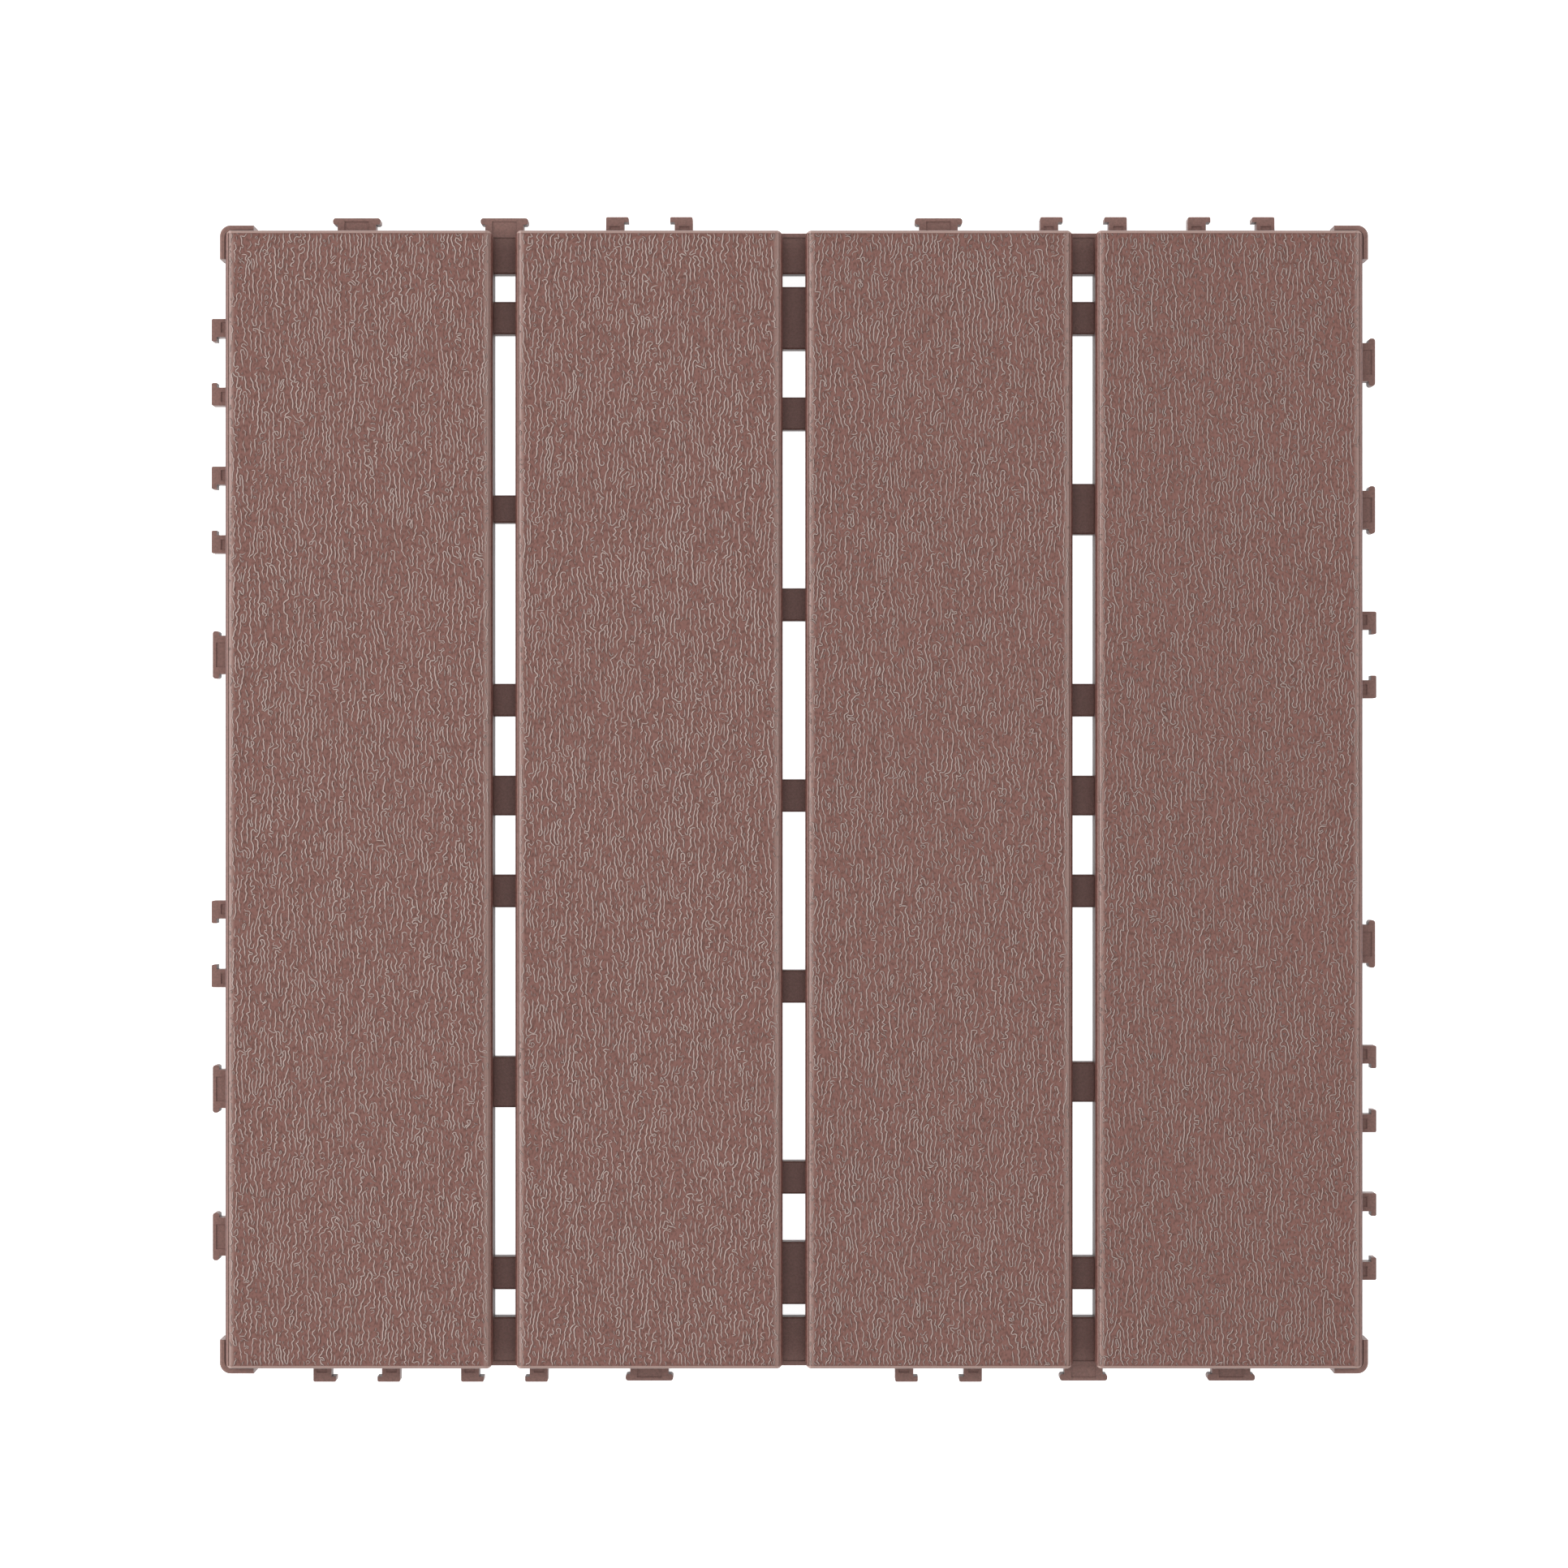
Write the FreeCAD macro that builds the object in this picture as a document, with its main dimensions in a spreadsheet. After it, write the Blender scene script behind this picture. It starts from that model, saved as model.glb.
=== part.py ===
import FreeCAD, Part
import os
import Sketcher
from FreeCAD import Vector

# Interlocking deck tile, moulded in one piece. Sizes are in millimetres.
#
# Four slats run along Y. Each is a channel, open underneath, with ribs and square feet inside. In
# each gap between two slats, low bars and a floor at each end join them, with drainage slots
# between the bars. Every side of the tile carries three T-shaped tongues and three pairs of
# hooks, in an order that is the same on all four sides, so that any side of one tile drops into
# any side of the next. The origin is on the ground under the tile's middle, and +Z is up.

SIZES = {
    "slat_count": (4, "slats side by side"),
    "slat_width": (69.35, "width of one slat over its walls"),
    "slat_gap": (5.9, "drainage gap between two slats"),
    "joint_gap": (4.9, "gap between the walls of two tiles clipped together"),
    "tile_height": (18.5, "ground to the top of the slats"),
    "base_height": (9.0, "ground to the top of the bars, floors, tongues and hooks"),
    "foot_height": (1.5, "ground to the lower edge of the walls"),
    "skin": (1.8, "thickness of a slat's top"),
    "wall": (1.5, "thickness of a slat's side and end walls"),
    "corner_round": (1.6, "radius of a slat's corners seen from above"),
    "shoulder_width": (2.4, "width of the rounded shoulder along a slat"),
    "shoulder_drop": (1.9, "depth of that shoulder at the wall"),
    "end_round": (0.45, "radius of the top edge at a slat's ends"),
    "grain_depth": (0.2, "depth of the grained field below its smooth rim"),
    "side_rim": (0.8, "width of that rim along a slat"),
    "end_rim": (0.7, "width of that rim at a slat's ends"),
    "rib": (1.1, "thickness of the ribs under a slat"),
    "rib_rise": (3.0, "height of the ribs' lower edge above the walls' lower edge"),
    "foot_width": (5.0, "width of a square foot"),
    "end_floor_top": (10.6, "length of the floors at the +Y end"),
    "end_floor_bottom": (12.6, "length of the floors at the -Y end"),
    "outer_bar_inset": (11.45, "end floor to the middle of the outermost bar"),
    "bar_plain": (8.5, "length of a plain bar along the gap"),
    "bar_narrow": (7.2, "length of a narrow bar"),
    "bar_medium": (10.4, "length of a medium bar"),
    "bar_broad": (13.2, "length of a broad bar"),
    "bar_wide": (16.3, "length of the widest bars, in the middle gap"),
    "bar_skin": (1.8, "thickness of the top of a bar or floor"),
    "bar_web": (1.4, "thickness of the webs under a bar or floor"),
    "bar_bevel": (0.45, "bevel of a bar's top edges"),
    "rim_width": (1.1, "width of the raised rim at a floor's outer edge"),
    "rim_rise": (0.35, "height of that rim"),
    "near_connector": (37.7, "middle of a side to the nearest tongue or pair of hooks"),
    "middle_connector": (75.5, "middle of a side to the next one"),
    "far_connector": (114.0, "middle of a side to the outermost one"),
    "neck_width": (10.0, "width of a tongue's neck"),
    "head_width": (12.4, "width of a tongue's head"),
    "head_thickness": (1.7, "thickness of a tongue's head"),
    "head_round": (0.7, "radius of the corners of a tongue's head"),
    "tip_clearance": (0.6, "clearance from a hook to the wall of the next tile"),
    "pull_play": (0.35, "play between head and lips when tiles are pulled apart"),
    "side_play": (0.4, "play on each side of the neck and the head"),
    "lip_thickness": (1.35, "thickness of a hook's lip"),
    "stem_width": (4.7, "width of a hook's stem"),
    "hook_round": (0.4, "radius of a hook's outer corners"),
    "dish_depth": (0.25, "depth of the shallow dishes in tongues and hooks"),
    "tongue_dish": (6.4, "width of the dish in a tongue"),
    "tongue_border": (0.85, "distance from the head's outer face to the dish"),
    "hook_dish": (2.65, "width of the dish in a hook's stem"),
    "hook_border": (0.9, "distance from the stem's outer side to the dish"),
    "lip_border": (2.4, "distance from the hook's outer face to the dish"),
    "spacer_reach": (1.6, "how far a corner spacer stands out from the walls"),
    "spacer_arm": (7.2, "length of a corner spacer along each wall"),
    "spacer_round": (2.8, "outer radius of a corner spacer"),
    "spacer_height": (15.5, "ground to the top of a corner spacer"),
    "spacer_bevel": (0.4, "bevel of a corner spacer's top edge"),
    "groove_width": (0.35, "width of the groove between a corner spacer and the wall"),
    "groove_depth": (0.8, "depth of that groove"),
}

# Half bays from the middle of the lattice of bars and ribs to its outermost bars.
OUTER_ROW = 5

# The bars of each gap from -Y to +Y: half bays from the lattice's middle, and the kind of bar.
LEFT_GAP = [
    (-5, "plain"), (-3, "broad"), (-1, "plain"), (0, "medium"), (1, "plain"), (3, "narrow"), (5, "plain"),
]
MIDDLE_GAP = [
    (-5, "wide"), (-4, "plain"), (-2, "plain"), (0, "plain"), (2, "plain"), (4, "plain"), (5, "wide"),
]
RIGHT_GAP = [
    (-5, "plain"), (-3, "medium"), (-1, "plain"), (0, "medium"), (1, "plain"), (3, "broad"), (5, "plain"),
]
GAPS = [LEFT_GAP, MIDDLE_GAP, RIGHT_GAP]

# Tongues and pairs of hooks along the +Y side, from -X to +X. Each tongue has a pair of hooks as far
# on the other side of the middle, because it clips into the pair that faces it on the next tile.
TONGUE_PLACES = ("-Sizes.far_connector", "-Sizes.middle_connector", "Sizes.near_connector")
HOOK_PLACES = ("-Sizes.near_connector", "Sizes.middle_connector", "Sizes.far_connector")
SIDES_OF_TILE = 4

# Columns of the ribs along a slat, in quarter slats, and the crossings that stand on feet.
RIB_COLUMNS = (-1, 0, 1)
FOOT_COLUMNS = (-1, 1)
FOOT_ROWS = (-5, -3, -1, 1, 3, 5)

# How far a cut runs past what it cuts.
CUT_MARGIN = 1.0

# Expressions that several pieces share.
PITCH = "(Sizes.slat_width + Sizes.slat_gap)"
HALF = f"((Sizes.slat_count * {PITCH} - Sizes.slat_gap) / 2)"
HALF_SLAT = "(Sizes.slat_width / 2)"
FIRST_SLAT = f"(-(Sizes.slat_count - 1) * {PITCH} / 2)"
FLOOR_TOP = f"({HALF} - Sizes.end_floor_top)"
FLOOR_BOTTOM = f"(-{HALF} + Sizes.end_floor_bottom)"
LATTICE_MIDDLE = f"(({FLOOR_TOP} + {FLOOR_BOTTOM}) / 2)"
LATTICE_STEP = f"(({FLOOR_TOP} - {FLOOR_BOTTOM} - 2 * Sizes.outer_bar_inset) / {2 * OUTER_ROW})"
UNDER_SKIN = "(Sizes.tile_height - Sizes.grain_depth - Sizes.skin)"
MID_SKIN = "(Sizes.tile_height - Sizes.grain_depth - Sizes.skin / 2)"
MID_WALL = f"({HALF} - Sizes.wall / 2)"

# Reach of the hooks and tongues from the walls, worked out from the joint that they fill.
HOOK_REACH = "(Sizes.joint_gap - Sizes.tip_clearance)"
LIP_INNER = f"({HOOK_REACH} - Sizes.lip_thickness)"
HEAD_INNER = f"(Sizes.joint_gap - {LIP_INNER} + Sizes.pull_play)"
TONGUE_REACH = f"({HEAD_INNER} + Sizes.head_thickness)"
HEAD_ROUND = "min(Sizes.head_round; Sizes.head_thickness * 0.45)"
HOOK_ROUND = "min(Sizes.hook_round; Sizes.lip_thickness * 0.4)"

doc = FreeCAD.newDocument("deck_tile")
sheet = doc.addObject("Spreadsheet::Sheet", "Sizes")
for row, (alias, (amount, meaning)) in enumerate(SIZES.items(), start=1):
    sheet.set(f"A{row}", alias)
    sheet.set(f"B{row}", str(amount))
    sheet.set(f"C{row}", meaning)
    sheet.setAlias(f"B{row}", alias)
doc.recompute()


def number(expression):
    """Work out an expression on the sheet as a plain number."""
    return float(sheet.evalExpression(expression))


def new_body(name, x_place=None):
    """Start a body for one form of the tile, shifted along X by an expression."""
    body = doc.addObject("PartDesign::Body", name)
    body.AllowCompound = True
    if x_place is not None:
        body.setExpression("Placement.Base.x", x_place)
    return body


def origin_part(body, role):
    """Find one of a body's origin planes or axes by its role."""
    return next(part for part in body.Origin.OriginFeatures if part.Role == role)


def new_sketch(body, name, plane="XY_Plane", height=None):
    """Start a sketch on one of a body's origin planes, raised by an expression."""
    sketch = body.newObject("Sketcher::SketchObject", name)
    sketch.AttachmentSupport = [(origin_part(body, plane), "")]
    sketch.MapMode = "FlatFace"
    if height is not None:
        sketch.setExpression("AttachmentOffset.Base.z", height)
    return sketch


def lock(sketch, kind, element, point, expression):
    """Hold one coordinate of a point at an expression."""
    constraint = Sketcher.Constraint(kind, -1, 1, element, point, number(expression))
    index = sketch.addConstraint(constraint)
    sketch.setExpression(f"Constraints[{index}]", expression)


def add_arc(sketch, centre, start, end, left_turn):
    """Add an arc, and give its element with its first and its last point along the outline."""
    circle = Part.Circle(centre, Vector(0, 0, 1), (start - centre).Length)
    first, last = (start, end) if left_turn else (end, start)
    element = sketch.addGeometry(Part.Arc(circle, circle.parameter(first), circle.parameter(last)))
    return (element, 1, 2) if left_turn else (element, 2, 1)


def outline(sketch, corners):
    """Draw a closed outline whose edges are all level or upright.

    Each corner is (x, y), or (x, y, radius) where it is rounded, as expressions.
    """
    points = [Vector(number(corner[0]), number(corner[1]), 0) for corner in corners]
    radii = [number(corner[2]) if len(corner) > 2 else 0.0 for corner in corners]
    count = len(corners)
    steps = [(points[(i + 1) % count] - points[i]).normalize() for i in range(count)]
    lines = []
    for i, step in enumerate(steps):
        after = (i + 1) % count
        edge = Part.LineSegment(points[i] + step * radii[i], points[after] - step * radii[after])
        line = sketch.addGeometry(edge)
        upright = abs(step.x) < abs(step.y)
        sketch.addConstraint(Sketcher.Constraint("Vertical" if upright else "Horizontal", line))
        lock(sketch, "DistanceX" if upright else "DistanceY", line, 1, corners[i][0 if upright else 1])
        lines.append(line)
    for i, (step_in, step_out) in enumerate(zip(steps[-1:] + steps[:-1], steps)):
        before = lines[i - 1]
        if radii[i] == 0.0:
            sketch.addConstraint(Sketcher.Constraint("Coincident", before, 2, lines[i], 1))
            continue
        start = points[i] - step_in * radii[i]
        end = points[i] + step_out * radii[i]
        left_turn = step_in.cross(step_out).z > 0
        arc, first, last = add_arc(sketch, start + step_out * radii[i], start, end, left_turn)
        sketch.addConstraint(Sketcher.Constraint("Tangent", before, 2, arc, first))
        sketch.addConstraint(Sketcher.Constraint("Tangent", arc, last, lines[i], 1))
        index = sketch.addConstraint(Sketcher.Constraint("Radius", arc, radii[i]))
        sketch.setExpression(f"Constraints[{index}]", corners[i][2])


def box_corners(x_low, x_high, y_low, y_high, radius=None):
    """List the corners of a rectangle, with the same radius at each."""
    places = [(x_low, y_low), (x_high, y_low), (x_high, y_high), (x_low, y_high)]
    return places if radius is None else [place + (radius,) for place in places]


def strip(middle, width):
    """Give the two edges of a strip of some width round a middle line."""
    return f"({middle} - {width} / 2)", f"({middle} + {width} / 2)"


def lattice_row(row):
    """Give the place along Y of a row of the lattice."""
    return f"({LATTICE_MIDDLE} + {row} * {LATTICE_STEP})"


def add_feature(body, kind, sketch, length):
    """Add a pad or pocket of a sketch to a body and make it the body's tip."""
    feature = body.newObject(f"PartDesign::{kind}", f"{sketch.Name}_{kind.lower()}")
    feature.Profile = sketch
    feature.AllowMultiFace = True
    feature.setExpression("Length", length)
    body.Tip = feature
    return feature


def pad(body, sketch, length):
    """Add material above a sketch's outlines."""
    return add_feature(body, "Pad", sketch, length)


def pocket(body, sketch, length, upward=False):
    """Take material away below a sketch's outlines, or above them."""
    feature = add_feature(body, "Pocket", sketch, length)
    feature.Reversed = upward
    return feature


def cut_through(body, sketch, length):
    """Cut a sketch's outlines through a body, half the length to each side of the sketch."""
    feature = add_feature(body, "Pocket", sketch, length)
    feature.Midplane = True
    return feature


def repeat_sides(body, features):
    """Repeat one side's features on the other sides of the tile."""
    pattern = body.newObject("PartDesign::PolarPattern", body.Name + "_all_round")
    pattern.Originals = features
    pattern.Axis = (origin_part(body, "Z_Axis"), [""])
    pattern.Angle = 360
    pattern.Occurrences = SIDES_OF_TILE
    body.Tip = pattern


def bevel_edges(body, name, size, chosen):
    """Bevel the edges of a body that a test picks out."""
    doc.recompute()
    base = body.Tip
    names = [f"Edge{i}" for i, edge in enumerate(base.Shape.Edges, start=1) if chosen(edge)]
    bevel = body.newObject("PartDesign::Chamfer", name)
    bevel.Base = (base, names)
    bevel.setExpression("Size", size)
    body.Tip = bevel


def arc_radius(width, drop):
    """Give the radius of an arc that starts level and drops by some depth over some width."""
    return f"(({width} ^ 2 + {drop} ^ 2) / (2 * {drop}))"


def round_over(sketch, side, wall, width, drop):
    """Draw what rounds an edge: the outside of an arc from the slat's top down to a wall."""
    outer, start = f"({side} * ({wall} + {CUT_MARGIN}))", f"({side} * ({wall} - {width}))"
    foot_level, above = f"(Sizes.tile_height - {drop})", f"(Sizes.tile_height + {CUT_MARGIN})"
    foot = Vector(side * number(wall), number(foot_level), 0)
    head = Vector(number(start), number("Sizes.tile_height"), 0)
    centre = head - Vector(0, number(arc_radius(width, drop)), 0)
    arc, first, last = add_arc(sketch, centre, head, foot, left_turn=side < 0)
    upper, past = number(above), number(outer)
    corners = [foot, Vector(past, foot.y, 0), Vector(past, upper, 0), Vector(head.x, upper, 0), head]
    lines = [sketch.addGeometry(Part.LineSegment(a, b)) for a, b in zip(corners, corners[1:])]
    for line, kind in zip(lines, ("Horizontal", "Vertical", "Horizontal", "Vertical")):
        sketch.addConstraint(Sketcher.Constraint(kind, line))
    for before, after in zip(lines, lines[1:]):
        sketch.addConstraint(Sketcher.Constraint("Coincident", before, 2, after, 1))
    sketch.addConstraint(Sketcher.Constraint("Coincident", arc, last, lines[0], 1))
    sketch.addConstraint(Sketcher.Constraint("Perpendicular", lines[3], 2, arc, first))
    lock(sketch, "DistanceX", lines[0], 1, f"({side} * {wall})")
    lock(sketch, "DistanceY", lines[0], 1, foot_level)
    lock(sketch, "DistanceX", lines[1], 1, outer)
    lock(sketch, "DistanceY", lines[2], 1, above)
    lock(sketch, "DistanceX", lines[3], 2, start)
    lock(sketch, "DistanceY", lines[3], 2, "Sizes.tile_height")


def field_profile(sketch):
    """Draw what the grained field cuts away: all above a line and two arcs that follow the top."""
    floor, above = "(Sizes.tile_height - Sizes.grain_depth)", f"(Sizes.tile_height + {CUT_MARGIN})"
    start, edge = f"({HALF_SLAT} - Sizes.shoulder_width)", f"({HALF_SLAT} - Sizes.side_rim)"
    radius = arc_radius("Sizes.shoulder_width", "Sizes.shoulder_drop") + " - Sizes.grain_depth"
    bend = number(radius)
    past = number(edge) - number(start)
    foot_height = number(floor) - bend + (bend**2 - past**2) ** 0.5
    tops = [Vector(side * number(start), number(floor), 0) for side in (-1, 1)]
    feet = [Vector(side * number(edge), foot_height, 0) for side in (-1, 1)]
    bottom = sketch.addGeometry(Part.LineSegment(*tops))
    uppers = [Vector(foot.x, number(above), 0) for foot in feet]
    corners = [feet[1], uppers[1], uppers[0], feet[0]]
    lines = [sketch.addGeometry(Part.LineSegment(a, b)) for a, b in zip(corners, corners[1:])]
    for line, kind in zip([bottom] + lines, ("Horizontal", "Vertical", "Horizontal", "Vertical")):
        sketch.addConstraint(Sketcher.Constraint(kind, line))
    for before, after in zip(lines, lines[1:]):
        sketch.addConstraint(Sketcher.Constraint("Coincident", before, 2, after, 1))
    joints = ((tops[0], feet[0], 1, lines[2], 2), (tops[1], feet[1], 2, lines[0], 1))
    for top, foot, end, line, point in joints:
        centre = top - Vector(0, bend, 0)
        arc, first, last = add_arc(sketch, centre, top, foot, left_turn=foot.x < 0)
        sketch.addConstraint(Sketcher.Constraint("Tangent", bottom, end, arc, first))
        sketch.addConstraint(Sketcher.Constraint("Coincident", arc, last, line, point))
        index = sketch.addConstraint(Sketcher.Constraint("Radius", arc, bend))
        sketch.setExpression(f"Constraints[{index}]", radius)
    lock(sketch, "DistanceY", bottom, 1, floor)
    lock(sketch, "DistanceX", bottom, 1, f"-{start}")
    lock(sketch, "DistanceX", bottom, 2, start)
    lock(sketch, "DistanceX", lines[0], 1, edge)
    lock(sketch, "DistanceX", lines[2], 1, f"-{edge}")
    lock(sketch, "DistanceY", lines[1], 1, above)


def shape_slat_top(body):
    """Round a slat's top along its sides and at its ends, and sink the grained field."""
    shoulders = new_sketch(body, "shoulders", plane="XZ_Plane")
    ends = new_sketch(body, "ends", plane="YZ_Plane")
    for side in (-1, 1):
        round_over(shoulders, side, HALF_SLAT, "Sizes.shoulder_width", "Sizes.shoulder_drop")
        round_over(ends, side, HALF, "Sizes.end_round", "Sizes.end_round")
    cut_through(body, shoulders, f"2 * ({HALF} + {CUT_MARGIN})")
    cut_through(body, ends, f"2 * ({HALF_SLAT} + {CUT_MARGIN})")
    grained = new_sketch(body, "grained_field", plane="XZ_Plane")
    field_profile(grained)
    cut_through(body, grained, f"2 * ({HALF} - Sizes.end_rim)")


def add_ribs_and_feet(body):
    """Put the ribs and the square feet into a slat's channel."""
    rib_bottom = "(Sizes.foot_height + Sizes.rib_rise)"
    seat_x = f"({HALF_SLAT} - Sizes.wall / 2)"
    cross_ribs = new_sketch(body, "cross_ribs", height=rib_bottom)
    for row in range(-OUTER_ROW, OUTER_ROW + 1):
        low, high = strip(lattice_row(row), "Sizes.rib")
        outline(cross_ribs, box_corners(f"-{seat_x}", seat_x, low, high))
    pad(body, cross_ribs, f"{MID_SKIN} - {rib_bottom}")

    long_ribs = new_sketch(body, "long_ribs", height=rib_bottom)
    for column in RIB_COLUMNS:
        low, high = strip(f"({column} * Sizes.slat_width / 4)", "Sizes.rib")
        outline(long_ribs, box_corners(low, high, f"-{MID_WALL}", MID_WALL))
    pad(body, long_ribs, f"{MID_SKIN} - {rib_bottom}")

    feet = new_sketch(body, "feet")
    for column in FOOT_COLUMNS:
        left, right = strip(f"({column} * Sizes.slat_width / 4)", "Sizes.foot_width")
        for row in FOOT_ROWS:
            low, high = strip(lattice_row(row), "Sizes.foot_width")
            outline(feet, box_corners(left, right, low, high))
    pad(body, feet, rib_bottom)


def make_slats():
    """Make one slat, with its channel, ribs and feet, and repeat it across the tile."""
    body = new_body("slats", FIRST_SLAT)
    block = new_sketch(body, "slat", height="Sizes.foot_height")
    outline(block, box_corners(f"-{HALF_SLAT}", HALF_SLAT, f"-{HALF}", HALF, "Sizes.corner_round"))
    pad(body, block, "Sizes.tile_height - Sizes.foot_height")
    shape_slat_top(body)

    inner_x, inner_y = f"({HALF_SLAT} - Sizes.wall)", f"({HALF} - Sizes.wall)"
    channel = new_sketch(body, "channel", height="Sizes.foot_height")
    outline(channel, box_corners(f"-{inner_x}", inner_x, f"-{inner_y}", inner_y))
    pocket(body, channel, f"{UNDER_SKIN} - Sizes.foot_height", upward=True)
    add_ribs_and_feet(body)

    pattern = body.newObject("PartDesign::LinearPattern", "all_slats")
    pattern.TransformMode = "Whole shape"
    pattern.Direction = (origin_part(body, "X_Axis"), [""])
    pattern.Mode = "Spacing"
    pattern.setExpression("Offset", PITCH)
    pattern.setExpression("Occurrences", "Sizes.slat_count")
    body.Tip = pattern
    return body


def is_bar_edge(edge):
    """Tell whether an edge is the top edge of a bar or floor, beside a slot."""
    box = edge.BoundBox
    level = number("Sizes.base_height")
    on_top = abs(box.ZMin - level) < 1e-4 and abs(box.ZMax - level) < 1e-4
    across = box.YLength < 1e-4 and box.XLength > 1e-3
    return on_top and across and number(FLOOR_BOTTOM) - 1e-4 < box.YMin < number(FLOOR_TOP) + 1e-4


def make_gap(index, bars):
    """Join two slats with one gap's bars and end floors, hollow from below."""
    body = new_body(f"gap_{index + 1}", f"({FIRST_SLAT} + ({index} + 0.5) * {PITCH})")
    half_gap = "(Sizes.slat_gap / 2)"
    into_wall = f"({half_gap} + Sizes.wall / 2)"
    into_corner = f"({half_gap} + max(Sizes.corner_round; Sizes.wall / 2))"
    bar_ends = [strip(lattice_row(row), f"Sizes.bar_{kind}") for row, kind in bars]
    floor_ends = [(f"-{HALF}", FLOOR_BOTTOM), (FLOOR_TOP, HALF)]

    tops = new_sketch(body, f"bars_{index + 1}", height="Sizes.foot_height")
    for low, high in bar_ends:
        outline(tops, box_corners(f"-{into_wall}", into_wall, low, high))
    for low, high in floor_ends:
        outline(tops, box_corners(f"-{into_corner}", into_corner, low, high))
    pad(body, tops, "Sizes.base_height - Sizes.foot_height")
    bevel_edges(body, f"bar_edges_{index + 1}", "Sizes.bar_bevel", is_bar_edge)

    hollows = new_sketch(body, f"hollows_{index + 1}", height="Sizes.foot_height")
    end_wall = f"({HALF} - Sizes.wall)"
    spans = [(f"({low} + Sizes.bar_web)", f"({high} - Sizes.bar_web)") for low, high in bar_ends]
    spans.append((f"-{end_wall}", f"({FLOOR_BOTTOM} - Sizes.bar_web)"))
    spans.append((f"({FLOOR_TOP} + Sizes.bar_web)", end_wall))
    for low, high in spans:
        outline(hollows, box_corners(f"-{half_gap}", half_gap, low, high))
    pocket(body, hollows, "Sizes.base_height - Sizes.bar_skin - Sizes.foot_height", upward=True)

    rims = new_sketch(body, f"rims_{index + 1}", height="Sizes.base_height")
    inner = f"({HALF} - Sizes.rim_width)"
    for low, high in ((f"-{HALF}", f"-{inner}"), (inner, HALF)):
        outline(rims, box_corners(f"-{into_corner}", into_corner, low, high))
    pad(body, rims, "Sizes.rim_rise")
    return body


def tongue_corners(x_text):
    """List the corners of a tongue: a neck that starts inside the wall, and a wider head."""
    under, face = f"({HALF} + {HEAD_INNER})", f"({HALF} + {TONGUE_REACH})"
    neck_low, neck_high = strip(x_text, "Sizes.neck_width")
    head_low, head_high = strip(x_text, "Sizes.head_width")
    return [
        (neck_low, MID_WALL), (neck_high, MID_WALL), (neck_high, under),
        (head_high, under, HEAD_ROUND), (head_high, face, HEAD_ROUND),
        (head_low, face, HEAD_ROUND), (head_low, under, HEAD_ROUND), (neck_low, under),
    ]


def hook_corners(x_text, side):
    """List the corners of one hook: a stem beside the head, and a lip that reaches in behind it."""
    under, face = f"({HALF} + {LIP_INNER})", f"({HALF} + {HOOK_REACH})"
    tip = f"({x_text} + {side} * (Sizes.neck_width / 2 + Sizes.side_play))"
    stem_inner = f"({x_text} + {side} * (Sizes.head_width / 2 + Sizes.side_play))"
    stem_outer = f"({stem_inner} + {side} * Sizes.stem_width)"
    corners = [
        (stem_inner, MID_WALL), (stem_outer, MID_WALL), (stem_outer, face, HOOK_ROUND),
        (tip, face, HOOK_ROUND), (tip, under), (stem_inner, under),
    ]
    return corners if side > 0 else corners[::-1]


def make_connectors():
    """Make one side's tongues and pairs of hooks, and repeat them round the tile."""
    body = new_body("connectors")
    shapes = new_sketch(body, "connector_shapes", height="Sizes.foot_height")
    dishes = new_sketch(body, "dishes", height="Sizes.base_height")
    for x_text in TONGUE_PLACES:
        outline(shapes, tongue_corners(x_text))
        low, high = strip(x_text, "Sizes.tongue_dish")
        dish_end = f"({HALF} + {TONGUE_REACH} - Sizes.tongue_border)"
        outline(dishes, box_corners(low, high, HALF, dish_end))
    for x_text in HOOK_PLACES:
        for side in (-1, 1):
            outline(shapes, hook_corners(x_text, side))
            stem_outer = f"(Sizes.head_width / 2 + Sizes.side_play + Sizes.stem_width)"
            dish_middle = f"({stem_outer} - Sizes.hook_border - Sizes.hook_dish / 2)"
            low, high = strip(f"({x_text} + {side} * {dish_middle})", "Sizes.hook_dish")
            outline(dishes, box_corners(low, high, HALF, f"({HALF} + {HOOK_REACH} - Sizes.lip_border)"))
    raised = pad(body, shapes, "Sizes.base_height - Sizes.foot_height")
    dished = pocket(body, dishes, "Sizes.dish_depth")
    repeat_sides(body, [raised, dished])
    return body


def is_spacer_edge(edge):
    """Tell whether an edge is the outer top edge of the corner spacer."""
    box = edge.BoundBox
    level = number("Sizes.spacer_height")
    reach = number(f"{HALF} + Sizes.spacer_reach")
    on_top = abs(box.ZMin - level) < 1e-4 and abs(box.ZMax - level) < 1e-4
    straight = box.XMin > reach - 1e-3 or box.YMin > reach - 1e-3
    bend = box.XLength > 1e-3 and box.YLength > 1e-3 and box.XMax > reach - 1e-3
    return on_top and (straight or bend)


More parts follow.
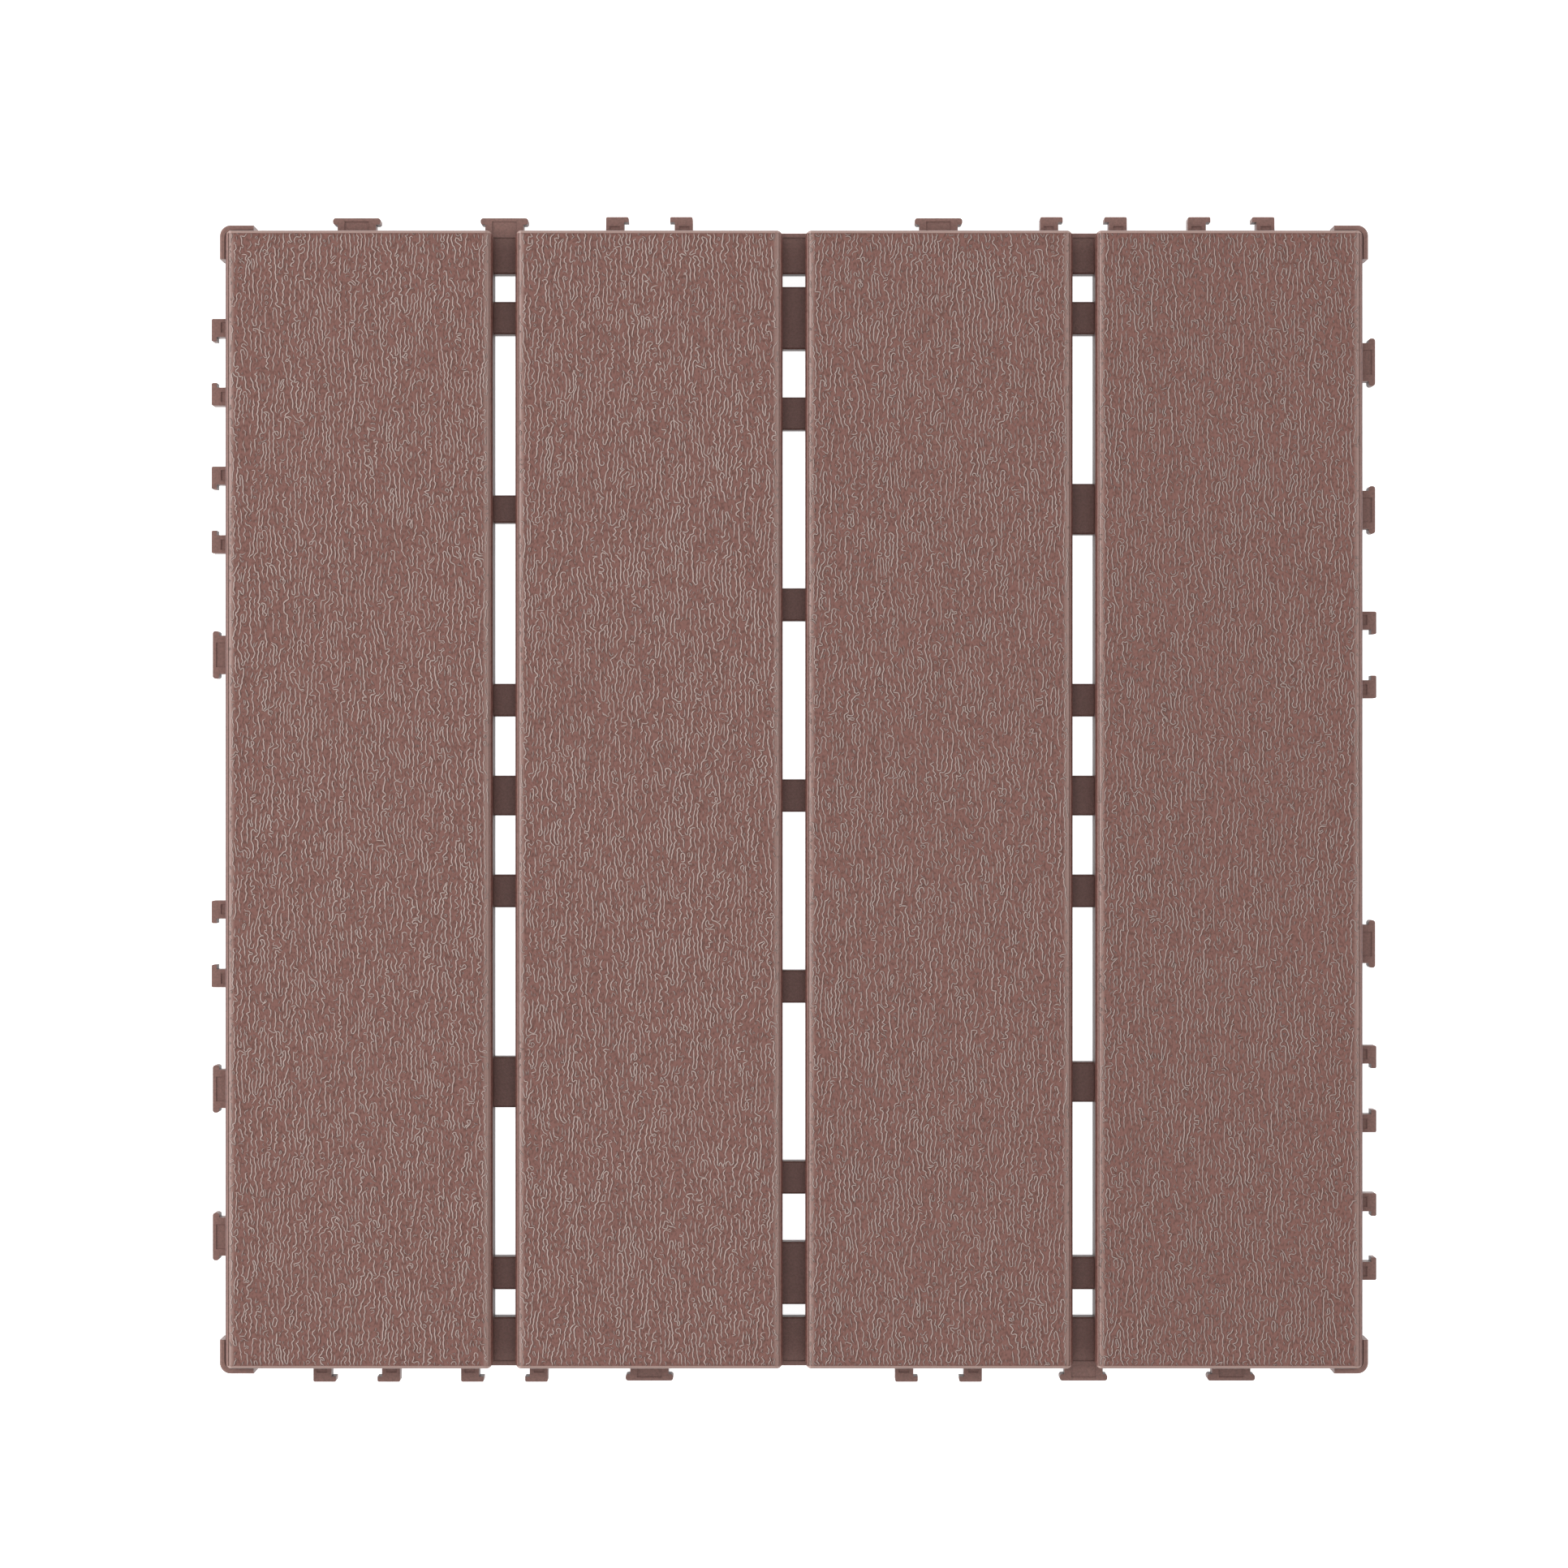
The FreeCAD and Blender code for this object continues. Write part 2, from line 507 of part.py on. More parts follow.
def make_spacers():
    """Make the L-shaped spacer at one corner, with its groove, and repeat it at the others."""
    body = new_body("spacers")
    reach, arm = f"({HALF} + Sizes.spacer_reach)", f"({HALF} - Sizes.spacer_arm)"
    spacer = new_sketch(body, "spacer", height="Sizes.foot_height")
    outline(spacer, [
        (MID_WALL, arm), (reach, arm), (reach, reach, "Sizes.spacer_round"),
        (arm, reach), (arm, MID_WALL), (MID_WALL, MID_WALL),
    ])
    pad(body, spacer, "Sizes.spacer_height - Sizes.foot_height")
    bevel_edges(body, "spacer_edges", "Sizes.spacer_bevel", is_spacer_edge)

    groove = new_sketch(body, "groove", height="Sizes.spacer_height")
    outer, past = f"({HALF} + Sizes.groove_width)", f"({arm} - {CUT_MARGIN})"
    outline(groove, [
        (HALF, past), (outer, past), (outer, outer, "(Sizes.corner_round + Sizes.groove_width)"),
        (past, outer), (past, HALF), (HALF, HALF, "Sizes.corner_round"),
    ])
    pocket(body, groove, "Sizes.groove_depth")

    pattern = body.newObject("PartDesign::PolarPattern", "all_spacers")
    pattern.TransformMode = "Whole shape"
    pattern.Axis = (origin_part(body, "Z_Axis"), [""])
    pattern.Angle = 360
    pattern.Occurrences = SIDES_OF_TILE
    body.Tip = pattern
    return body


def check_model(tile):
    """Stop if any object failed or the tile isn't one valid solid."""
    for item in doc.Objects:
        if "Invalid" in item.State or "Error" in item.State:
            raise RuntimeError(f"{item.Name} is {item.State}")
    if tile.Shape.isNull() or not tile.Shape.isValid() or len(tile.Shape.Solids) != 1:
        raise RuntimeError("the tile is not one valid solid")


forms = [make_slats(), make_connectors(), make_spacers()]
for gap_index in range(int(number("Sizes.slat_count")) - 1):
    forms.append(make_gap(gap_index, GAPS[gap_index % len(GAPS)]))
deck_tile = doc.addObject("Part::MultiFuse", "deck_tile")
deck_tile.Label = "deck_tile"
deck_tile.Shapes = forms
deck_tile.Refine = True
doc.recompute()
check_model(deck_tile)

os.makedirs("parts", exist_ok=True)
deck_tile.Shape.Solids[0].exportStep(os.path.join("parts", deck_tile.Label + ".step"))
bounds = deck_tile.Shape.BoundBox
print(f"deck_tile: {bounds.XLength:.2f} x {bounds.YLength:.2f} x {bounds.ZLength:.2f} mm,"
      f" volume {deck_tile.Shape.Volume / 1000:.1f} cm3, {len(deck_tile.Shape.Faces)} faces")
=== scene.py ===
"""Looks of the interlocking deck tile: moulded plastic with an embossed wood grain on its slats."""
import logging
from dataclasses import dataclass, field
from enum import Enum

import bpy
import numpy as np
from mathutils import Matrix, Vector


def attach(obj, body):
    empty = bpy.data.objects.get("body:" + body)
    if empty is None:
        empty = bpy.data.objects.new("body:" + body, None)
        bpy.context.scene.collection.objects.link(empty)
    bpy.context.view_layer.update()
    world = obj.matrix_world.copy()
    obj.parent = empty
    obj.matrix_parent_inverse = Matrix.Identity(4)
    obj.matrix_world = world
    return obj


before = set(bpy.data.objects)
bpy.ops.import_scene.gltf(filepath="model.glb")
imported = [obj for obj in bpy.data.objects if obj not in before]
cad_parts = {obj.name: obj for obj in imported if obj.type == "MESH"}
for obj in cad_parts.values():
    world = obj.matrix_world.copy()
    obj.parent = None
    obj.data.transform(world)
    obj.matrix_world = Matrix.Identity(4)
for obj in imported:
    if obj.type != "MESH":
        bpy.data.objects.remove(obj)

logging.basicConfig(level=logging.INFO, format="%(levelname)s %(message)s")
log = logging.getLogger("deck_tile")

MM = 0.001
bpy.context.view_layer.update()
SHADING_ATTRIBUTE = "crest_shading"
WHITE = (1.0, 1.0, 1.0, 1.0)

Colour = tuple[float, float, float, float]
Span = tuple[float, float]
Socket = bpy.types.NodeSocket


def srgb(red: float, green: float, blue: float) -> Colour:
    """Turn a colour in 0 to 255 steps into the linear colour that a shader takes.

    Args:
        red: the red share as a screen shows it.
        green: the green share.
        blue: the blue share.

    Returns:
        The linear colour with full opacity.
    """
    def linear(step: float) -> float:
        """Turn one share into its linear value."""
        share = step / 255
        return share / 12.92 if share <= 0.04045 else ((share + 0.055) / 1.055) ** 2.4

    return (linear(red), linear(green), linear(blue), 1.0)


@dataclass(frozen=True)
class SlatLayout:
    """Where the slats' tops lie, in millimetres."""

    count: int = 4
    width: float = 69.35
    gap: float = 5.9
    height: float = 18.5
    shoulder_width: float = 2.4
    shoulder_drop: float = 1.9
    grain_depth: float = 0.2
    side_rim: float = 0.8
    end_rim: float = 0.7

    @property
    def pitch(self) -> float:
        """Give the distance from one slat to the next."""
        return self.width + self.gap

    @property
    def length(self) -> float:
        """Give the slats' length, which is the width of all four and their gaps."""
        return self.count * self.pitch - self.gap

    def middle(self, index: int) -> float:
        """Give the place across the tile of a slat's middle line."""
        return (index - (self.count - 1) / 2) * self.pitch

    def field_height(self, across: np.ndarray) -> np.ndarray:
        """Give the height of the grained field.

        Args:
            across: distances from the slat's middle line.

        Returns:
            The heights above the ground at these distances.
        """
        radius = (self.shoulder_width**2 + self.shoulder_drop**2) / (2 * self.shoulder_drop)
        start = self.width / 2 - self.shoulder_width
        past = np.clip(np.abs(across) - start, 0.0, self.shoulder_width)
        inner = radius - self.grain_depth
        return self.height - radius + np.sqrt(np.maximum(inner**2 - past**2, 0.0))


@dataclass(frozen=True)
class GrainPattern:
    """A random pattern of kinked lines that mostly run along a slat, in millimetres."""

    across_wave: float = 2.4
    across_band: float = 0.5
    along_wave: float = 8.5
    kink_wave: float = 1.6
    kink_band: float = 0.55
    kink_share: float = 0.64
    level_patch: float = 3.0
    break_across: float = 0.8
    break_along: float = 1.3
    kept_share: float = 0.92
    weakest: float = 0.05
    fewest_points: int = 4
    cell_across: float = 0.2
    cell_along: float = 0.24

    def noise(self, shape: tuple[int, int], weight: np.ndarray, rng: np.random.Generator) -> np.ndarray:
        """Make smooth noise from white noise and a weight for each wave.

        Args:
            shape: rows along the slat and columns across it.
            weight: how much of each wave stays.
            rng: the source of the random draws.

        Returns:
            The noise on the grid, with a spread of one.
        """
        smooth = np.fft.irfft2(np.fft.rfft2(rng.standard_normal(shape)) * weight, s=shape)
        return smooth / smooth.std()

    def level(self, values: np.ndarray, waves: np.ndarray) -> np.ndarray:
        """Give noise the same strength everywhere, so that it makes an even texture.

        Args:
            values: the noise on the grid.
            waves: the length of each wave, as one over millimetres.

        Returns:
            The noise divided by its own strength near each point.
        """
        weight = np.exp(-((waves * self.level_patch) ** 2))
        around = np.fft.irfft2(np.fft.rfft2(values**2) * weight, s=values.shape)
        return values / np.sqrt(np.maximum(around, self.weakest))

    def relief(self, shape: tuple[int, int], rng: np.random.Generator) -> tuple[np.ndarray, np.ndarray]:
        """Make the noise that the lines follow, and the noise that breaks them.

        Args:
            shape: rows along the slat and columns across it.
            rng: the source of the random draws.

        Returns:
            Both noises on the grid.
        """
        rows, columns = shape
        along = np.fft.fftfreq(rows, self.cell_along)[:, None]
        across = np.fft.rfftfreq(columns, self.cell_across)[None, :]
        waves = np.hypot(across, along)
        ripple = (across * self.across_wave - 1) / self.across_band
        stripes = self.noise(shape, np.exp(-(ripple**2) - (along * self.along_wave) ** 2), rng)
        kinks = self.noise(shape, np.exp(-(((waves * self.kink_wave - 1) / self.kink_band) ** 2)), rng)
        fading = (across * self.break_across) ** 2 + (along * self.break_along) ** 2
        breaks = self.noise(shape, np.exp(-fading), rng)
        return self.level(stripes, waves) + self.kink_share * self.level(kinks, waves), breaks

    def draw(self, width: float, length: float, seed: int) -> list[np.ndarray]:
        """Draw the pattern's lines on a rectangle.

        Args:
            width: size across the slat.
            length: size along the slat.
            seed: the number that the random draws start from.

        Returns:
            One array of points for each line, measured from the rectangle's middle.
        """
        shape = (int(length / self.cell_along) + 2, int(width / self.cell_across) + 2)
        base, breaks = self.relief(shape, np.random.default_rng(seed))
        level = np.quantile(breaks, 1 - self.kept_share)
        steps = np.array([width / (shape[1] - 1), length / (shape[0] - 1)])
        corner = np.array([-width / 2, -length / 2])
        return [run * steps + corner for line in contour_lines(base)
                for run in runs_of(line, sample(breaks, line) > level, self.fewest_points)]


def contour_lines(values: np.ndarray) -> list[np.ndarray]:
    """Trace where a grid of values crosses zero.

    Args:
        values: the grid, rows first.

    Returns:
        Arrays of points as (column, row), in grid steps.
    """
    rows, columns = values.shape
    high = values > 0
    level_cross = high[:, :-1] != high[:, 1:]
    upright_cross = high[:-1] != high[1:]
    places = {}
    r, c = np.nonzero(level_cross)
    share = values[r, c] / (values[r, c] - values[r, c + 1])
    places.update(zip((r * columns + c).tolist(), np.c_[c + share, r].tolist()))
    offset = rows * columns
    r, c = np.nonzero(upright_cross)
    share = values[r, c] / (values[r, c] - values[r + 1, c])
    places.update(zip((offset + r * columns + c).tolist(), np.c_[c, r + share].tolist()))
    links = {name: [] for name in places}
    below, above = level_cross[:-1], level_cross[1:]
    left, right = upright_cross[:, :-1], upright_cross[:, 1:]
    for r, c in zip(*np.nonzero(below | above | left | right)):
        here = int(r) * columns + int(c)
        sides = [name for name, hit in ((here, below[r, c]), (offset + here, left[r, c]),
                                        (here + columns, above[r, c]), (offset + here + 1, right[r, c])) if hit]
        for a, b in zip(sides[::2], sides[1::2]):
            links[a].append(b)
            links[b].append(a)
    lines, seen = [], set()
    for start in sorted(links, key=lambda name: len(links[name])):
        if start in seen:
            continue
        path, here = [], start
        while here is not None:
            seen.add(here)
            path.append(places[here])
            here = next((name for name in links[here] if name not in seen), None)
        lines.append(np.array(path))
    return lines


def sample(values: np.ndarray, points: np.ndarray) -> np.ndarray:
    """Read a grid of values at points.

    Args:
        values: the grid, rows first.
        points: places as (column, row), in grid steps.

    Returns:
        The value at the grid point nearest to each place.
    """
    c = np.clip(np.rint(points[:, 0]).astype(int), 0, values.shape[1] - 1)
    r = np.clip(np.rint(points[:, 1]).astype(int), 0, values.shape[0] - 1)
    return values[r, c]


def runs_of(line: np.ndarray, keep: np.ndarray, fewest: int) -> list[np.ndarray]:
    """Cut a line into the runs that are kept.

    Args:
        line: the line's points.
        keep: for each point, whether it stays.
        fewest: how many points a run has at least.

    Returns:
        The runs that are long enough.
    """
    edges = np.flatnonzero(np.diff(np.r_[0, keep.astype(int), 0]))
    return [line[a:b] for a, b in zip(edges[::2], edges[1::2]) if b - a >= fewest]


@dataclass
class RaisedGrain:
    """The raised lines of wood grain on one slat, as one mesh of closed strips."""

    name: str
    index: int
    layout: SlatLayout
    pattern: GrainPattern
    seed: int
    crest_highlight: float
    step: float = 0.6
    left_foot: float = -0.34
    right_foot: float = 0.27
    rise: float = 0.19
    sink: float = 0.06
    taper: float = 0.7
    taper_power: float = 0.6
    tip_size: float = 0.35
    sizes: Span = (0.75, 1.1)
    shortest: float = 0.7
    side_margin: float = 0.35
    # These set the painted light on the strips: how faint a short strip's painted highlight is, the strip
    # length that gets it in full, and the painted light on the left foot.
    faint: float = 0.7
    strong_length: float = 5.0
    left_foot_light: float = 0.3
    strips: int = field(default=0, init=False)
    shading_levels: list[np.ndarray] = field(default_factory=list, init=False)

    def resample(self, line: np.ndarray) -> np.ndarray | None:
        """Space a line's points evenly.

        Args:
            line: the line's points.

        Returns:
            The new points, or nothing where the line is too short.
        """
        lengths = np.r_[0.0, np.cumsum(np.linalg.norm(np.diff(line, axis=0), axis=1))]
        if lengths[-1] < self.shortest:
            return None
        count = max(3, int(round(lengths[-1] / self.step)) + 1)
        at = np.linspace(0.0, lengths[-1], count)
        return np.c_[np.interp(at, lengths, line[:, 0]), np.interp(at, lengths, line[:, 1])]

    def strip(self, line: np.ndarray, rng: np.random.Generator) -> tuple[np.ndarray, list[list[int]]]:
        """Build one closed strip along a line.

        Args:
            line: evenly spaced points.
            rng: the source of the random draws.

        Returns:
            The strip's points, three for each point of the line, and its faces.
        """
        if line[-1, 1] < line[0, 1]:
            line = line[::-1]
        ahead = np.gradient(line, axis=0)
        ahead /= np.linalg.norm(ahead, axis=1)[:, None] + 1e-9
        aside = np.c_[ahead[:, 1], -ahead[:, 0]]
        at = np.r_[0.0, np.cumsum(np.linalg.norm(np.diff(line, axis=0), axis=1))]
        fade = np.clip(np.minimum(at, at[-1] - at) / self.taper, 0.0, 1.0) ** self.taper_power
        size = rng.uniform(*self.sizes) * (self.tip_size + (1 - self.tip_size) * fade)
        rise = self.rise * np.minimum(size, 1.0)
        rings = []
        for offset, lift in ((self.left_foot, -self.sink), (0.0, rise), (self.right_foot, -self.sink)):
            spot = line + aside * (offset * size)[:, None]
            rings.append(np.c_[spot, self.layout.field_height(spot[:, 0]) + lift])
        points = np.stack(rings, axis=1).reshape(-1, 3)
        start = np.arange(len(line) - 1)[:, None] * 3
        around = np.array([[k, k + 3, (k + 1) % 3 + 3, (k + 1) % 3] for k in range(3)])
        faces = (start[:, None, :] + around[None, :, :]).reshape(-1, 4).tolist()
        last = 3 * len(line)
        # Painted light: each strip point gets a shading level. The crest gets it in full as a painted
        # highlight, the left foot that faces the left lamp gets some, and the right foot gets 0 as painted
        # shade. Shorter strips get a fainter painted highlight.
        crest_highlight = self.faint + (self.crest_highlight - self.faint) * min(at[-1] / self.strong_length, 1.0)
        self.shading_levels.append(np.tile([self.left_foot_light, crest_highlight, 0.0], len(line)))
        return points, faces + [[0, 1, 2], [last - 1, last - 2, last - 3]]

    def build(self) -> bpy.types.Object:
        """Make the mesh object with all strips of the slat.

        Returns:
            The object, linked to the scene.
        """
        reach = self.layout.width / 2 - self.layout.side_rim - self.side_margin
        length = self.layout.length - 2 * self.layout.end_rim
        rng = np.random.default_rng(self.seed + 1)
        points, faces, total = [], [], 0
        for line in self.pattern.draw(2 * reach, length, self.seed):
            even = self.resample(line)
            if even is None:
                continue
            spots, quads = self.strip(even, rng)
            points.append(spots)
            faces += [[corner + total for corner in face] for face in quads]
            total += len(spots)
            self.strips += 1
        places = np.concatenate(points)
        places[:, 0] += self.layout.middle(self.index)
        mesh = bpy.data.meshes.new(self.name)
        mesh.from_pydata((places * MM).tolist(), [], faces)
        mesh.polygons.foreach_set("use_smooth", np.ones(len(mesh.polygons), bool))
        crest_shading = mesh.attributes.new(SHADING_ATTRIBUTE, "FLOAT", "POINT")
        crest_shading.data.foreach_set("value", np.concatenate(self.shading_levels).astype(np.float32))
        mesh.update()
        piece = bpy.data.objects.new(self.name, mesh)
        bpy.context.scene.collection.objects.link(piece)
        return piece


@dataclass
class NodeGraph:
    """Short ways to add nodes to a node tree."""

    tree: bpy.types.NodeTree

    def add(self, kind: str, **inputs: float | tuple) -> bpy.types.Node:
        """Add a node.

        Args:
            kind: the node's type.
            inputs: values for its inputs, with an underscore for each space in a name.

        Returns:
            The node.
        """
        node = self.tree.nodes.new(kind)
        for name, value in inputs.items():
            node.inputs[name.replace("_", " ")].default_value = value
        return node

    def link(self, source: Socket, target: Socket) -> None:
        """Link two sockets."""
        self.tree.links.new(source, target)

    def feed(self, value: Socket | float | tuple, target: Socket) -> None:
        """Feed a socket or a plain value into an input.

        Args:
            value: where the value comes from.
            target: the input.
        """
        if isinstance(value, Socket):
            self.link(value, target)
        else:
            target.default_value = value

    def math(self, operation: str, *values: Socket | float) -> Socket:
        """Add a math node.

        Args:
            operation: what the node does.
            values: sockets or plain numbers, in the order of its inputs.

        Returns:
            The result.
        """
        node = self.tree.nodes.new("ShaderNodeMath")
        node.operation = operation
        for value, target in zip(values, node.inputs):
            self.feed(value, target)
        return node.outputs[0]

    def mix(self, kind: str, factor: Socket, first: Socket | Colour | float,
            second: Socket | Colour | float) -> bpy.types.Node:
        """Add a node that mixes two values.

        Args:
            kind: FLOAT for numbers or RGBA for colours.
            factor: the share of the second value.
            first: the first value.
            second: the second value.

        Returns:
            The node, whose output is named Result.
        """
        node = self.tree.nodes.new("ShaderNodeMix")
        node.data_type = kind
        for label, value in (("Factor", factor), ("A", first), ("B", second)):
            self.feed(value, node.inputs[label])
        return node

    def ramp(self, value: Socket, low: float, high: float) -> Socket:
        """Spread the part of a value between two levels over 0 to 1.

        Args:
            value: the value.
            low: the level that becomes 0.
            high: the level that becomes 1.

        Returns:
            The spread value.
        """
        node = self.add("ShaderNodeMapRange", From_Min=low, From_Max=high)
        self.link(value, node.inputs["Value"])
        return node.outputs["Result"]

    def noise(self, place: Socket, scale: float, detail: float) -> Socket:
        """Add a noise texture.

        Args:
            place: the coordinates.
            scale: how many waves go into a metre.
            detail: how many finer layers are added.

        Returns:
            The noise's value.
        """
        node = self.add("ShaderNodeTexNoise", Scale=scale, Detail=detail)
        self.link(place, node.inputs["Vector"])
        return node.outputs["Fac"]


@dataclass(frozen=True)
class RimMasks:
    """The group of masks for the slats' tops, rims and edges, in millimetres from a slat's edge."""

    layout: SlatLayout = SlatLayout()
    band_start: Span = (2.5, 1.8)
    band_end: Span = (0.9, 0.3)
    band_share: float = 0.65
    edge: Span = (0.55, 0.25)
    end_blur: float = 0.1
    top_blur: float = 0.2

    def build(self) -> bpy.types.NodeTree:
        """Make the node group.

        Returns:
            The group, with the masks "Top", "Rim" and "Edge".
        """
        name = "slat_rim"
        if name in bpy.data.node_groups:
            return bpy.data.node_groups[name]
        group = bpy.data.node_groups.new(name, "ShaderNodeTree")
        for label in ("Top", "Rim", "Edge"):
            group.interface.new_socket(label, in_out="OUTPUT", socket_type="NodeSocketFloat")
        graph = NodeGraph(group)
        made = graph.add("NodeGroupOutput").inputs
        split = graph.add("ShaderNodeSeparateXYZ")
        graph.link(graph.add("ShaderNodeTexCoord").outputs["Object"], split.inputs[0])
        bottom = self.layout.height - self.layout.shoulder_drop
        top = graph.ramp(split.outputs["Z"], (bottom - self.top_blur) * MM, (bottom + self.top_blur) * MM)
        pitch, half = self.layout.pitch, self.layout.width / 2
        whole_turns = 10.0
        turns = graph.math("MULTIPLY_ADD", split.outputs["X"], 1 / (pitch * MM), whole_turns)
        aside = graph.math("ABSOLUTE", graph.math("SUBTRACT", graph.math("FRACT", turns), 0.5))
        started, ended, outermost = (graph.ramp(aside, (half - inner) / pitch, (half - outer) / pitch)
                                     for inner, outer in (self.band_start, self.band_end, self.edge))
        # The shoulder band along the long sides joins the rim mask, where the surface gets its painted
        # highlight.
        band = graph.math("MULTIPLY", graph.math("SUBTRACT", started, ended), self.band_share)
        reach = self.layout.length / 2 - self.layout.end_rim
        along = graph.math("ABSOLUTE", split.outputs["Y"])
        end = graph.ramp(along, (reach - self.end_blur) * MM, (reach + self.end_blur) * MM)
        graph.link(top, made["Top"])
        graph.link(graph.math("MULTIPLY", graph.math("MAXIMUM", band, end), top), made["Rim"])
        graph.link(graph.math("MULTIPLY", outermost, top), made["Edge"])
        return group


@dataclass(frozen=True)
class MouldedSurface:
    """The group of tones, painted light and shade, and bumps of the moulded plastic, with scales per metre and
    heights in metres.
    """

    drift: Span = (45.0, 4.0)
    drift_share: float = 0.2
    fine: Span = (1800.0, 2.0)
    fine_share: float = 0.8
    shade_levels: Span = (0.36, 0.6)
    pebbles: Span = (1900.0, 1.5)
    pebble_squeeze: float = 0.6
    pebble_levels: Span = (0.32, 0.54)
    stipple_height: float = 0.00005
    pebble_height: float = 0.00012
    lower_painted_light: float = 0.3
    edge_painted_shade: float = 0.42
    hollow_reach: float = 0.009
    hollow_samples: int = 2
    hollow_levels: Span = (0.26, 0.5)
    hollow_painted_shade: float = 0.85
    painted_shade_tint: Colour = (0.25, 0.035, 0.03, 1.0)
    rough_spread: float = 0.08
    rim_polish: float = 0.3

    def add_sockets(self, group: bpy.types.NodeTree) -> None:
        """Give the group its named inputs and outputs.

        Args:
            group: the new group.
        """
        for label, kind in (("Colour", "Color"), ("Dark", "Color"), ("Roughness", "Float"),
                            ("Stipple", "Float"), ("Field", "Float"), ("Painted Light Colour", "Color")):
            group.interface.new_socket(label, in_out="INPUT", socket_type="NodeSocket" + kind)
        for label, kind in (("Colour", "Color"), ("Roughness", "Float"), ("Normal", "Vector")):
            group.interface.new_socket(label, in_out="OUTPUT", socket_type="NodeSocket" + kind)

    def build(self) -> bpy.types.NodeTree:
        """Make the node group.

        Returns:
            The group, with the outputs "Colour", "Roughness" and "Normal".
        """
        name = "moulded_surface"
        if name in bpy.data.node_groups:
            return bpy.data.node_groups[name]
        group = bpy.data.node_groups.new(name, "ShaderNodeTree")
        self.add_sockets(group)
        graph = NodeGraph(group)
        given, made = graph.add("NodeGroupInput").outputs, graph.add("NodeGroupOutput").inputs
        place = graph.add("ShaderNodeTexCoord").outputs["Object"]
        squeeze = graph.add("ShaderNodeMapping", Scale=(1.0, self.pebble_squeeze, 1.0))
        graph.link(place, squeeze.inputs["Vector"])
        slats = graph.add("ShaderNodeGroup")
        slats.node_tree = RimMasks().build()
        masks = {label: graph.math("MULTIPLY", slats.outputs[label], given["Field"])
                 for label in ("Top", "Rim", "Edge")}
        grained = graph.math("SUBTRACT", 1.0, slats.outputs["Rim"])
        on_field = graph.math("MULTIPLY", masks["Top"], grained)
        below = graph.math("MULTIPLY", graph.math("SUBTRACT", 1.0, slats.outputs["Top"]), given["Field"])

        fine = graph.noise(place, *self.fine)
        pebbles = graph.noise(squeeze.outputs[0], *self.pebbles)
        drift = graph.math("MULTIPLY", graph.noise(place, *self.drift), self.drift_share)
        specks = graph.math("MULTIPLY", fine, self.fine_share)
        spread = graph.ramp(graph.math("ADD", drift, specks), *self.shade_levels)
        lumps = graph.ramp(pebbles, *self.pebble_levels)
        shade = graph.mix("FLOAT", on_field, spread, lumps).outputs["Result"]
        plain = graph.mix("RGBA", shade, given["Dark"], given["Colour"]).outputs["Result"]
        # Painted light: everything below the slats' tops is painted partly toward the pale painted light
        # colour, standing in for light that reaches the connectors and bars.
        lower_light_share = graph.math("MULTIPLY", below, self.lower_painted_light)
        lower_lit = graph.mix("RGBA", lower_light_share, plain, given["Painted Light Colour"]).outputs["Result"]
        # Painted highlight: the shoulder bands and end rims are painted toward the pale painted light colour,
        # standing in for the lamps' highlights on these rounded edges.
        rim_highlighted = graph.mix("RGBA", masks["Rim"], lower_lit, given["Painted Light Colour"]).outputs["Result"]

        # Painted shade: where ambient occlusion finds the parts below the slats' tops closed in, as on the bars
        # between the slats and at the connectors' roots, the colour is multiplied toward a dark red, standing
        # in for the shade there.
        hollows = graph.add("ShaderNodeAmbientOcclusion", Distance=self.hollow_reach)
        hollows.samples = self.hollow_samples
        closed = graph.math("SUBTRACT", 1.0, graph.ramp(hollows.outputs["AO"], *self.hollow_levels))
        hollow_shade = graph.math("MULTIPLY", graph.math("MULTIPLY", closed, below), self.hollow_painted_shade)
        # Painted shade: the outermost strip of each slat's long sides is darkened, standing in for the shaded
        # steep edge.
        edge_shade = graph.math("MULTIPLY", masks["Edge"], self.edge_painted_shade)
        shaded = graph.mix("RGBA", graph.math("MAXIMUM", hollow_shade, edge_shade), rim_highlighted, self.painted_shade_tint)
        shaded.blend_type = "MULTIPLY"
        graph.link(shaded.outputs["Result"], made["Colour"])

        rough = graph.math("MULTIPLY_ADD", fine, self.rough_spread, given["Roughness"])
        graph.link(graph.math("MULTIPLY_ADD", masks["Rim"], -self.rim_polish, rough), made["Roughness"])
        stipple = graph.add("ShaderNodeBump", Distance=self.stipple_height)
        graph.link(given["Stipple"], stipple.inputs["Strength"])
        graph.link(fine, stipple.inputs["Height"])
        bumps = graph.add("ShaderNodeBump", Distance=self.pebble_height)
        graph.link(on_field, bumps.inputs["Strength"])
        graph.link(pebbles, bumps.inputs["Height"])
        graph.link(stipple.outputs["Normal"], bumps.inputs["Normal"])
        graph.link(bumps.outputs["Normal"], made["Normal"])
        return group


